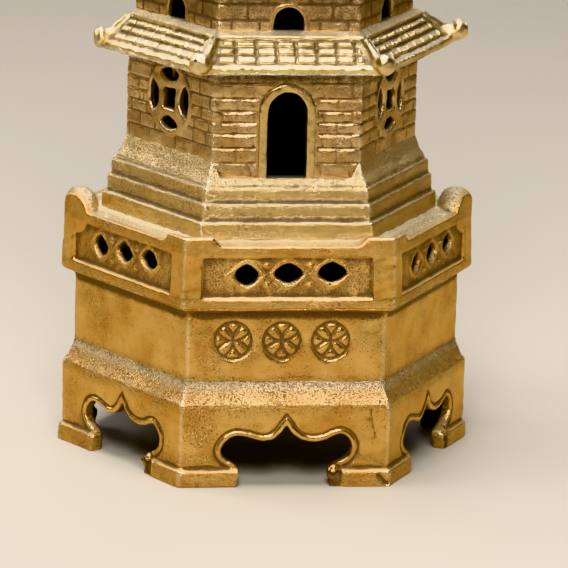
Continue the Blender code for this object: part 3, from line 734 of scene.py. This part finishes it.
def makeRailing():
    inner, flare, topRadius, lug = (railing[name] for name in ("inner", "flare", "topRadius", "lug"))
    body = ringBody("railingBody", [
        (topRadius, lug), (topRadius, railing["flareTop"]), (railing["radius"], railing["bottom"]),
        (inner, railing["bottom"]), (inner, railing["flareFoot"]), (flare, railing["flareFoot"]),
        (flare, railing["flareTop"]), (railing["lugInner"], lug)])
    corner = railing["radius"] / 2
    face = 0.5 * (railing["radius"] + topRadius) * cornerToSide
    gap, slope, top = corner - railing["lugWidth"], railing["lugSlope"], railing["top"]
    ogee = [(gap - slope, top), (gap - 0.45 * slope, top + 0.0008), (gap, lug - 0.0005), (gap + 0.0006, lug),
            (corner + 0.004, lug)]
    flat = [(corner + 0.004, top)]
    for side in range(6):   # the lugs end in an ogee, but run level to the lumps on the left and right corners
        start, end = (ogee, ogee) if side % 3 == 0 else (ogee, flat) if side % 3 == 1 else (flat, ogee)
        above = [(-0.040, 0.0830)] + [(-x, z) for x, z in reversed(start)] + end + [(0.040, 0.0830)]
        body = cutAway(body, {side: [above]}, *railing["topCut"])
    left, right, foot, head = railing["recess"]
    recess = oblong(left, right, foot, head)
    body = cutAway(body, dict.fromkeys(range(6), [recess]), face - railing["recessDepth"], face + 0.002)
    holes = [lozenge((x, z), width, height, railing["swell"]) for x, z, width, height in railing["holes"]]
    body = cutAway(body, dict.fromkeys(range(6), holes), *railing["holeCut"])
    for way in (-1, 1):   # the cast lumps on the left and right corners
        lump = bmesh.new()
        x, y, z = railing["lumpPlace"]
        place = Matrix.Translation((way * x, y, z)) @ Matrix.Diagonal((*railing["lumpSize"], 1))
        bmesh.ops.create_icosphere(lump, subdivisions=4, radius=1, matrix=place)
        lump = looseObject(lump, "lump")
        for side in (1, 2) if way > 0 else (4, 5):   # cut flush with the railing's faces
            beyond = oblong(-0.050, 0.050, 0.060, 0.090)
            lump = cutAway(lump, {side: [beyond]}, topRadius * cornerToSide, 0.0760)
        grown = bmesh.new()
        grown.from_mesh(body.data)
        grown.from_mesh(lump.data)
        grown.to_mesh(body.data)
        grown.free()
        bpy.data.objects.remove(lump, do_unlink=True)
    mesh = pourCasting(body, railing["voxel"], 3)

    def carving(across, height, out, side):
        amount = np.zeros(across.shape)
        inside = (bandOf(across, left, left + 0.001, right - 0.001, right)
                  * bandOf(height, 0.0600, 0.0606, 0.0712, 0.0718))
        for x, z, _, _ in railing["holes"]:
            line = lozenge((x, z - railing["rimDrop"]), *railing["rim"])
            rim = ridgeOf(lineDistance(across, height, line + line[:1]), 0.0010)
            amount = np.maximum(amount, railing["rimProud"] * rim * inside)
        for x in railing["studsAcross"]:
            for z in railing["studsHigh"]:
                stud = ridgeOf(np.hypot(across - x, height - z), 0.0013)
                amount = np.maximum(amount, railing["studProud"] * stud * inside)
        return amount, None

    # the sunk panels darker
    def paintedShadeAndStain(points, middle):
        high = points[:, 2]
        sunk = stepUp(face - middle, 0.0006, 0.0012) * (high > foot) * (high < head)
        return 0.6 * sunk * (middle > face - 0.003)

    def sand(points, middle):
        sunk = stepUp(face - middle, 0.0005, 0.0009) * (middle > face - 0.003)
        strips = 0.3 * stepUp(points[:, 2], 0.0718, 0.0726) + 0.3 * (1 - stepUp(points[:, 2], 0.0583, 0.0595))
        behind = stepUp(face - middle, 0.0014, 0.0026) * (points[:, 2] > 0.0735)
        lumps = [0.3 * blot(points, (way * railing["lumpPlace"][0], 0, 0.0775), (0.009, 0.011, 0.006))
                 for way in (-1, 1)]
        return np.max([0.5 * sunk, strips, behind, *lumps], axis=0)

    workSides(mesh, carving)
    handCast(mesh, 31, 0.00005, 0.00004)
    finishPiece("railingCasting", mesh, railing["triangles"], satinBrass,
                [name + "_railing" for name in sideNames], inner, railing["coreTop"], paintedShadeAndStain, sand)


makeRailing()


# terrace floor and steps
terrace = {"inner": 0.0480, "outer": 0.0616, "bottom": 0.0723, "top": 0.0751, "core": 0.0460, "voxel": 0.0006,
           "triangles": 25000}
steps = {"radii": (0.0526, 0.0510, 0.0498), "tops": (0.0802, 0.0857, 0.0904), "foot": 0.0742, "wall": 0.0042,
         "bank": ((0.0484, 0.0921), (0.0469, 0.0940), (0.0459, 0.0966), (0.0453, 0.0985)), "core": 0.0424,
         "landing": ((-0.0198, 0.0934), (0.0198, 0.0934), (0.0234, 0.0998), (-0.0234, 0.0998)),
         "cut": (0.0350, 0.0470), "dip": 0.0006, "voxel": 0.00038, "triangles": 80000}


def makeTerrace():
    profile = oblong(terrace["inner"], terrace["outer"], terrace["bottom"], terrace["top"])
    mesh = pourCasting(ringBody("terraceBody", profile), terrace["voxel"], 2)
    handCast(mesh, 41, 0.00010, 0.00009)
    finishPiece("terraceCasting", mesh, terrace["triangles"], paleBrass, ["terrace_deck"],
                terrace["core"], sand=lambda points, middle: np.ones(len(points)))


def makeSteps():
    profile = [(steps["core"], steps["bank"][-1][1])] + list(reversed(steps["bank"]))
    above = None
    for radius, top in zip(reversed(steps["radii"]), reversed(steps["tops"])):
        if above:
            profile.append((above + 0.0001, top - steps["dip"]))
        profile += [(radius - 0.0008, top + 0.0002), (radius - 0.0002, top + 0.0001),
                    (radius + 0.0001, top - 0.0004)]
        above = radius + 0.0001
    profile += [(steps["radii"][0] + 0.0002, steps["foot"]), (steps["radii"][0] - steps["wall"], steps["foot"]),
                (steps["core"] + 0.0020, steps["tops"][1])]
    # in front of the door the bank is cut down to a landing
    body = cutAway(ringBody("stepsBody", profile), {0: [steps["landing"]]}, *steps["cut"])
    mesh = pourCasting(body, steps["voxel"], 2)

    def fromCorners(points, middle):   # how far from the corner between a tread and the next riser
        away = np.full(len(points), 1.0)
        for radius, top in zip(steps["radii"] + (steps["bank"][0][0],), (terrace["top"],) + steps["tops"]):
            rise = points[:, 2] - top + steps["dip"]
            rise = np.where(rise > 0, 0.55 * rise, rise)
            away = np.minimum(away, np.hypot(middle - radius * cornerToSide, rise))
        return away

    # painted shade in the corner where each tread meets the riser above it, and less of the hollow's painted shade
    # on the bank
    def paintedShadeAndStain(points, middle):
        bank = bandOf(points[:, 2], 0.0915, 0.0930, 0.0970, 0.0985)
        return 1.15 * ridgeOf(fromCorners(points, middle), 0.0018) - 0.5 * bank

    def sand(points, middle):
        bank = stepUp(points[:, 2], 0.0905, 0.0915)
        return np.maximum(0.1 + 0.45 * bank, 0.6 * ridgeOf(fromCorners(points, middle), 0.0034))

    handCast(mesh, 51, 0.00006, 0.00004)
    finishPiece("stepsCasting", mesh, steps["triangles"], stepBrass, ["stepped_plinth"],
                steps["core"], paintedShadeAndStain=paintedShadeAndStain, sand=sand)


makeTerrace()
makeSteps()


# first storey: brickwork, coin windows, doorway
bricks = {"joints": (0.0926, 0.0976, 0.1023, 0.1066, 0.1102, 0.1137, 0.1176, 0.1222, 0.1270), "width": 0.0005,
          "slope": 0.0011, "frontDepth": 0.00065, "sideDepth": 0.00032,
          "front": ((-0.0200, -0.0105, 0.0108, 0.0196), (-0.0156, 0.0152)),
          "sides": ((-0.0170, -0.0050, 0.0090, 0.0205), (-0.0215, -0.0105, 0.0030, 0.0150),
                    (-0.0160, -0.0080, 0.0000, 0.0120, 0.0190), (-0.0205, -0.0125, 0.0125, 0.0200),
                    (-0.0165, -0.0145, 0.0160))}
storey = {"radius": 0.0454, "inner": 0.0422, "bottom": 0.0916, "top": 0.1268, "voxel": 0.00035,
          "triangles": 150000, "core": 0.0440, "doorWidth": 0.0119, "doorBottom": 0.0933, "doorHeight": 0.0263,
          "cut": (0.0300, 0.0480), "trim": 0.0026, "trimProud": 0.0012, "trimBack": 0.0028, "trimVoxel": 0.00034,
          "trimTriangles": 10000, "trimCore": 0.0438}
coin = {"level": 0.1135, "radius": 0.0102, "squareHalf": 0.0033, "sideLens": (0.0102, 0.0050, 0.0051),
        "topLens": (0.0094, 0.0038, 0.0049)}


def arcPoints(centre, radius, start, end, count):
    angles = [math.radians(start + (end - start) * step / count) for step in range(count + 1)]
    return [(centre[0] + radius * math.cos(angle), centre[1] + radius * math.sin(angle)) for angle in angles]


def archOutline(width, bottom, height):
    half = width / 2
    return [(half, bottom)] + arcPoints((0, bottom + height - half), half, 0, 180, 14) + [(-half, bottom)]


# a lens hole with its outer edge on a circle
def lensOutline(radius, depth, half):
    rise = math.sqrt(radius ** 2 - half ** 2) - (radius - depth)
    bulge = (half ** 2 + rise ** 2) / (2 * rise)
    outer, inner = math.degrees(math.asin(half / radius)), math.degrees(math.asin(half / bulge))
    return (arcPoints((0, 0), radius, 90 - outer, 90 + outer, 10)
            + arcPoints((0, radius - depth + bulge), bulge, 270 - inner, 270 + inner, 10)[1:-1])


# four lens holes round a hollow-sided square, as in an old coin
def coinOutlines():
    outlines, square = [], []
    half = coin["squareHalf"]
    for quarter in range(4):
        turn = Matrix.Rotation(quarter * math.pi / 2, 2)
        lens = lensOutline(*coin["sideLens" if quarter % 2 else "topLens"])
        outlines.append([tuple(turn @ Vector(point)) for point in lens])
        square += [tuple(turn @ Vector(point)) for point in ((half, -half), (0.91 * half, 0))]
    return [[(x, z + coin["level"]) for x, z in outline] for outline in outlines + [square]]


# how deep and how dark a wall's face lies: on the front each course slopes back to its upper edge
# and is painted darker towards its foot as shade, and on the other sides the bricks are flush with fine joints
def brickWork(across, height, joints, uprights, front):
    joints = np.array(joints)
    course = np.clip(np.searchsorted(joints, height) - 1, 0, len(joints) - 2)
    level = height - joints[np.argmin(np.abs(height[:, None] - joints[None, :]), axis=1)]
    line = ridgeOf(level, bricks["width"])
    for row in range(len(joints) - 1):
        places = np.array(uprights[row % len(uprights)]) + 0.0004 * math.sin(row * 12.9)
        upright = np.min(np.abs(across[:, None] - places[None, :]), axis=1)
        line = np.where(course == row, np.maximum(line, 0.8 * ridgeOf(upright, bricks["width"])), line)
    if not front:
        return bricks["sideDepth"] * line, 0.9 * line
    slope = np.clip(1 + level / bricks["slope"], 0, 1) ** 1.3 * (level < 0)
    over = ridgeOf(level, 0.6 * bricks["width"]) * (level >= 0)
    rise = (height - joints[course]) / (joints[course + 1] - joints[course])
    reach = np.abs(across)
    fade = np.where(course == 0, 0.35, 1.0) * stepUp(reach, 0.0088, 0.0100)
    fade *= 1 - 0.8 * stepUp(reach, 0.0196, 0.0212)
    fade *= (0.8 + 0.2 * np.sin(across * 900 + course * 2.3) * np.sin(across * 370 + course * 5.1))
    depth = np.maximum(bricks["frontDepth"] * np.maximum(slope, over) * fade, 0.8 * bricks["sideDepth"] * line)
    # dark joints, and painted shade darkening each course from six tenths of its height down to its foot
    return depth, 0.5 * line + 0.45 * np.clip(1 - rise / 0.6, 0, 1) * (rise > 0)


def makeFirstStorey():
    body = ringBody("storeyBody", oblong(storey["inner"], storey["radius"], storey["bottom"], storey["top"]))
    low = storey["bottom"] - 0.002
    head = storey["doorBottom"] + storey["doorHeight"] + 0.5 * storey["trim"]
    doorway = archOutline(storey["doorWidth"] + storey["trim"], low, head - low)
    body = cutAway(body, {side: coinOutlines() if side else [doorway] for side in range(6)}, *storey["cut"])
    mesh = pourCasting(body, storey["voxel"], 2)

    def carving(across, height, out, side):
        depth, dark = brickWork(across, height, bricks["joints"], bricks["sides" if side else "front"], side == 0)
        if side:
            reach = np.hypot(across, height - coin["level"])
            clear = stepUp(reach, coin["radius"] + 0.0012, coin["radius"] + 0.0020)
            rim = 0.0004 * (1 - stepUp(reach, coin["radius"] + 0.0008, coin["radius"] + 0.0018))
        else:
            spring = storey["doorBottom"] + storey["doorHeight"] - storey["doorWidth"] / 2
            reach = np.hypot(across, np.maximum(height - spring, 0))
            clear = stepUp(reach, 0.0088, 0.0096)
            rim = 0.0
        under = 0.0003 * stepUp(height, 0.1225, 0.1240)
        return rim - depth * clear - under, dark * clear

    workSides(mesh, carving)
    handCast(mesh, 61, 0.00007, 0.00005)

    # painted shadow of the eave across the top of the wall, where the skin is also left rawer
    def underEave(points, middle):
        return 0.95 * stepUp(points[:, 2], 0.1210, 0.1245)

    finishPiece("storeyCasting", mesh, storey["triangles"], tarnishedBrass,
                [name + "_wall" for name in sideNames], storey["core"], paintedShadeAndStain=underEave, sand=underEave)


def makeDoorTrim():
    width = storey["doorWidth"] + 2 * storey["trim"]
    bottom = storey["bottom"] + 0.0006
    outer = archOutline(width, bottom, storey["doorBottom"] + storey["doorHeight"] + storey["trim"] - bottom)
    wallFace = storey["radius"] * cornerToSide
    shape = bmesh.new()
    addPlate(shape, outer, wallFace - storey["trimBack"], wallFace + storey["trimProud"])
    closeUp(shape)
    doorway = archOutline(storey["doorWidth"], storey["doorBottom"], storey["doorHeight"])
    body = cutAway(looseObject(shape, "trimBody"), {0: [doorway]}, *storey["cut"])
    mesh = pourCasting(body, storey["trimVoxel"], 9)
    handCast(mesh, 71, 0.00006, 0.00003)
    finishPiece("doorTrimCasting", mesh, storey["trimTriangles"], stepBrass, ["door_frame"],
                storey["trimCore"])


makeFirstStorey()
makeDoorTrim()


# roofs: tiles, hip ridges, knobs and moulding
roof = {"profile": ((0.0437, 0.0118), (0.0462, 0.0103), (0.0467, 0.0092), (0.0511, 0.0054), (0.0560, 0.0021),
                    (0.0557, 0.0), (0.0412, 0.0), (0.0400, 0.0118)),
        "ridge": ((0.0458, 0.0093, 1.6), (0.0487, 0.0070, 1.7), (0.0510, 0.0051, 1.9), (0.0528, 0.0039, 2.4),
                  (0.0544, 0.0035, 2.9), (0.0558, 0.0036, 3.5), (0.0571, 0.0038, 3.3), (0.0580, 0.0039, 2.5),
                  (0.0586, 0.0040, 1.5), (0.0588, 0.0040, 0.5)),
        "columns": (-0.0224, -0.0167, -0.0104, -0.0043, 0.0016, 0.0079, 0.0140, 0.0197, 0.0226),
        "rows": (0.0093, 0.0075, 0.0054, 0.0033), "tileRise": 0.0009, "lean": math.radians(48), "reach": 0.3,
        "voxel": 0.00040, "core": 0.0412, "triangles": 90000, "repeatTriangles": 28000, "rightCurl": 0.0020,
        "leftDroop": -0.0014, "rightReach": 0.0021, "leftBroken": 0.0027}


# six hip ridges that swell into knobs, as bevelled curves made a mesh
def ridgeTubes(ridge):
    curve = bpy.data.curves.new("ridge", "CURVE")
    curve.dimensions = "3D"
    curve.bevel_depth = 0.001
    curve.bevel_resolution = 7
    curve.use_fill_caps = True
    line = curve.splines.new("POLY")
    line.points.add(len(ridge) - 1)
    for point, (radius, height, size) in zip(line.points, ridge):
        point.co = (radius, 0, height, 1)
        point.radius = size
    mesh = takeMesh(newObject("ridge", curve))
    shape = bmesh.new()
    shape.from_mesh(mesh)
    closeUp(shape)
    first = list(shape.verts) + list(shape.edges) + list(shape.faces)
    for side in range(1, 6):
        copied = bmesh.ops.duplicate(shape, geom=first)
        verts = [item for item in copied["geom"] if isinstance(item, bmesh.types.BMVert)]
        turnToSide(shape, verts, side)
    shape.to_mesh(mesh)
    shape.free()
    return mesh


# raised cells with soft edges, each course standing a little proud of the one below it, and the lines between them
def tileHeight(across, height, columns, rows):
    rows = np.array(rows[::-1])
    columns = np.array(columns)
    course = np.clip(np.searchsorted(rows, height) - 1, 0, len(rows) - 2)
    low, high = rows[course], rows[course + 1]
    rise = (height - low) / (high - low)
    column = np.clip(np.searchsorted(columns, across) - 1, 0, len(columns) - 2)
    start, end = columns[column], columns[column + 1]
    edge = np.minimum(across - start, end - across)
    sideways = stepUp(edge, 0.0, 0.0007)
    upright = stepUp(rise, 0.03, 0.26) * (1 - 0.75 * stepUp(rise, 0.62, 1.0))
    within = (height > rows[0]) & (height < rows[-1]) & (across > columns[0]) & (across < columns[-1])
    line = np.maximum(ridgeOf(edge, 0.0008), ridgeOf(np.minimum(height - low, high - height), 0.0006))
    return np.where(within, sideways * upright, 0.0), np.where(within, line, 0.0)


def roofMesh():
    mesh = pourCasting(ringBody("roofBody", roof["profile"], ridgeTubes(roof["ridge"])), roof["voxel"], 3)

    def carving(across, height, out, side):
        corner = out * math.tan(sideAngle / 2) - np.abs(across)
        tiles, line = tileHeight(across, height, roof["columns"], roof["rows"])
        inside = stepUp(corner, 0.0030, 0.0038)
        field = inside * bandOf(height, 0.0024, 0.0034, 0.0093, 0.0097)
        groove = ridgeOf(height - 0.0096, 0.0008) * stepUp(corner, 0.0012, 0.0030)
        amount = roof["tileRise"] * (tiles * inside - 0.4) * field
        lip = 1 - stepUp(height, 0.0020, 0.0030)
        worn = np.sin(across * 1450 + side) * np.sin(across * 610 + height * 2100 + 2 * side)
        amount += 0.00022 * lip * worn - 0.0005 * groove - 0.00015 * line * field
        return amount, 0.7 * line * field + 0.4 * groove + 0.6 * lip * stepUp(-worn, 0.1, 0.7)

    workSides(mesh, carving, lean=roof["lean"], reach=roof["reach"])
    return mesh


# a copy of a roof or storey, scaled and lifted to a node that repeats it
def stackedCopy(pattern, firstNode, node, bend=None):
    low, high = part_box(node)
    scale = high.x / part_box(firstNode)[1].x
    mesh = pattern.copy()
    points = readMesh(mesh)[0] * scale
    points[:, 2] += low.z
    if bend:
        bend(points)
    writePoints(mesh, points)
    return mesh, low.z, scale


# the first roof's right-hand eave end curls up and out, its left-hand one droops and is broken short
def bendEaveEnds(points):
    bend = points[:, 0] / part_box("first_roof")[1].x
    points[:, 2] += np.where(bend > 0, roof["rightCurl"], roof["leftDroop"]) * np.abs(bend) ** 5
    points[:, 0] += np.where(bend > 0, roof["rightReach"], roof["leftBroken"]) * np.abs(bend) ** 6


def makeRoofs():
    pattern = roofMesh()
    for index, name in enumerate(("first", "second", "third", "fourth", "fifth", "sixth")):
        bend = bendEaveEnds if index == 0 else None
        mesh, foot, scale = stackedCopy(pattern, "first_roof", name + "_roof", bend)
        handCast(mesh, 101 + index, 0.00008, 0.00006)

        # painted shade on the eave's underside, and on the ledge at the top of the tiles away from the front
        def underLip(points, middle):
            rise = (points[:, 2] - foot) / scale
            ledge = stepUp(rise, 0.0096, 0.0102) * (points[:, 1] > -0.036 * scale)
            return np.maximum(1.0 - stepUp(rise, 0.0002, 0.0010), 0.45 * ledge)

        count = roof["triangles"] if index == 0 else roof["repeatTriangles"]
        finishPiece(name + "RoofCasting", mesh, count, paleBrass, [name + "_roof"],
                    roof["core"] * scale, paintedShadeAndStain=underLip, sand=underLip)


makeRoofs()


# upper storeys
upper = {"radius": 0.0433, "topRadius": 0.0430, "inner": 0.0406, "overlap": 0.0006, "height": 0.0145,
         "windowWidth": 0.0090, "windowHeight": 0.0072, "cut": (0.0300, 0.0450), "voxel": 0.00040,
         "triangles": 40000, "repeatTriangles": 16000, "core": 0.0420, "paintedShadeAndStain": 1.05,
         "joints": (0.0, 0.0032, 0.0082, 0.0119, 0.0155),
         "uprights": ((-0.0175, -0.0090, 0.0095, 0.0180), (-0.0128, 0.0132), (-0.0180, -0.0068, 0.0062, 0.0185))}


def upperMesh():
    bottom, top = -upper["overlap"], upper["height"] + upper["overlap"]
    body = ringBody("upperBody", [(upper["topRadius"], top), (upper["radius"], bottom), (upper["inner"], bottom),
                                  (upper["inner"], top)])
    window = archOutline(upper["windowWidth"], -0.002, upper["windowHeight"] + 0.002)
    body = cutAway(body, dict.fromkeys(range(6), [window]), *upper["cut"])
    mesh = pourCasting(body, upper["voxel"], 3)

    def carving(across, height, out, side):
        depth, dark = brickWork(across, height, upper["joints"], upper["uprights"], False)
        spring = upper["windowHeight"] - upper["windowWidth"] / 2
        reach = np.hypot(across, np.maximum(height - spring, 0)) - upper["windowWidth"] / 2
        rim = 0.0002 * (1 - stepUp(reach, 0.0006, 0.0018))
        clear = stepUp(reach, 0.0012, 0.0020)
        return rim - depth * clear, dark * clear

    workSides(mesh, carving)
    return mesh


def makeUpperStoreys():
    pattern = upperMesh()
    for index, name in enumerate(("second", "third", "fourth", "fifth", "sixth", "seventh")):
        mesh, _, scale = stackedCopy(pattern, "second_storey_wall", name + "_storey_wall")
        handCast(mesh, 201 + index, 0.00006, 0.00005)
        count = upper["triangles"] if index == 0 else upper["repeatTriangles"]
        # painted shade darkens the whole wall of each upper storey, which stands under a roof
        finishPiece(name + "StoreyCasting", mesh, count, tarnishedBrass,
                    [name + "_storey_wall"], upper["core"] * scale,
                    paintedShadeAndStain=lambda points, middle: np.full(len(points), upper["paintedShadeAndStain"]))


makeUpperStoreys()


# top roof: the same skirt, drawn up to a neck under the finial
topRoof = {"neck": 0.0052, "neckFoot": 0.0062, "neckInner": 0.0030, "thick": 0.0042, "lip": 0.0560,
           "columns": (-0.0215, 0.0047, 10), "rows": (0.0152, -0.0020, 7), "tileRise": 0.0005,
           "lean": math.radians(55), "voxel": 0.00045, "triangles": 36000}


def makeTopRoof():
    low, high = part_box("top_roof")
    scale = high.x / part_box("first_roof")[1].x
    lip, rise = topRoof["lip"] * scale, high.z - low.z
    ridge = [(0.30 * lip, 0.58 * rise, 1.0), (0.5 * lip, 0.385 * rise, 1.1), (0.75 * lip, 0.215 * rise, 1.2)]
    ridge += [(radius * scale, height * scale, size * scale) for radius, height, size in roof["ridge"][2:]]
    profile = [(topRoof["neck"], rise), (topRoof["neckFoot"], 0.84 * rise), (0.30 * lip, 0.58 * rise),
               (0.62 * lip, 0.27 * rise), (lip, 0.0020), (0.0556 * scale, 0.0), (roof["core"] * scale, 0.0),
               (0.30 * lip, 0.58 * rise - topRoof["thick"]), (topRoof["neckInner"], 0.84 * rise - 0.003),
               (topRoof["neckInner"], rise)]
    mesh = pourCasting(ringBody("topRoofBody", profile, ridgeTubes(ridge)), topRoof["voxel"], 3)
    columns, rows = ([first + gap * step for step in range(count)]
                     for first, gap, count in (topRoof["columns"], topRoof["rows"]))

    def carving(across, height, out, side):
        corner = out * math.tan(sideAngle / 2) - np.abs(across)
        tiles, line = tileHeight(across, height, columns, rows)
        field = stepUp(corner, 0.0016, 0.0026) * bandOf(height, 0.0026, 0.0034, 0.0148, 0.0156)
        return topRoof["tileRise"] * (tiles - 0.4) * field, 0.7 * line * field

    workSides(mesh, carving, lean=topRoof["lean"], reach=roof["reach"])
    points, _ = readMesh(mesh)
    points[:, 2] += low.z
    writePoints(mesh, points)
    handCast(mesh, 301, 0.00008, 0.00006)
    finishPiece("topRoofCasting", mesh, topRoof["triangles"], paleBrass, ["top_roof"], 0.0)


# finial: each part's outline as (radius, share of the part's height, distance above that)
finial = {"Base": ((0, 0, 0), (0.0022, 0, 0), (0.0022, 0, 0.0030), (0.0060, 0, 0.0030), (0.0066, 0, 0.0046),
                   (0.0050, 1, -0.0030), (0.0062, 1, -0.0012), (0.0046, 1, 0), (0, 1, 0)),
          "Gourd": ((0, 0, 0), (0.0035, 0, 0), (0.0068, 0.12, 0), (0.0082, 0.30, 0), (0.0072, 0.46, 0),
                    (0.0046, 0.58, 0), (0.0038, 0.63, 0), (0.0047, 0.70, 0), (0.0056, 0.80, 0), (0.0046, 0.93, 0),
                    (0.0024, 1, 0), (0, 1, 0)),
          "Tip": ((0, 0, -0.0002), (0.0024, 0, -0.0002), (0.0034, 0, 0.0012), (0.0034, 0, 0.0024),
                  (0.0024, 0, 0.0040), (0.0013, 1, -0.0030), (0.0009, 1, -0.0006), (0, 1, 0))}
finialLook = {"seeds": (311, 321, 331), "voxel": 0.0004, "triangles": 8000}


def makeFinial():
    for (part, outline), seed in zip(finial.items(), finialLook["seeds"]):
        node = "finial_" + part.lower()
        low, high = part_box(node)
        if part == "Gourd":
            outline = [outline[0], *smoothLine(outline[1:-1]), outline[-1]]
        shape = bmesh.new()
        verts = [shape.verts.new((radius, 0, low.z + share * (high.z - low.z) + above))
                 for radius, share, above in outline]
        edges = [shape.edges.new(pair) for pair in zip(verts, verts[1:])]
        bmesh.ops.spin(shape, geom=verts + edges, cent=(0, 0, 0), axis=(0, 0, 1), angle=math.tau, steps=48,
                       use_merge=True, use_duplicate=False)
        closeUp(shape)
        name = "finial" + part + "Casting"
        mesh = pourCasting(looseObject(shape, name), finialLook["voxel"], 4)
        handCast(mesh, seed, 0.00007, 0.00003)
        finishPiece(name, mesh, finialLook["triangles"], satinBrass, [node], 0.0)


makeTopRoof()
makeFinial()
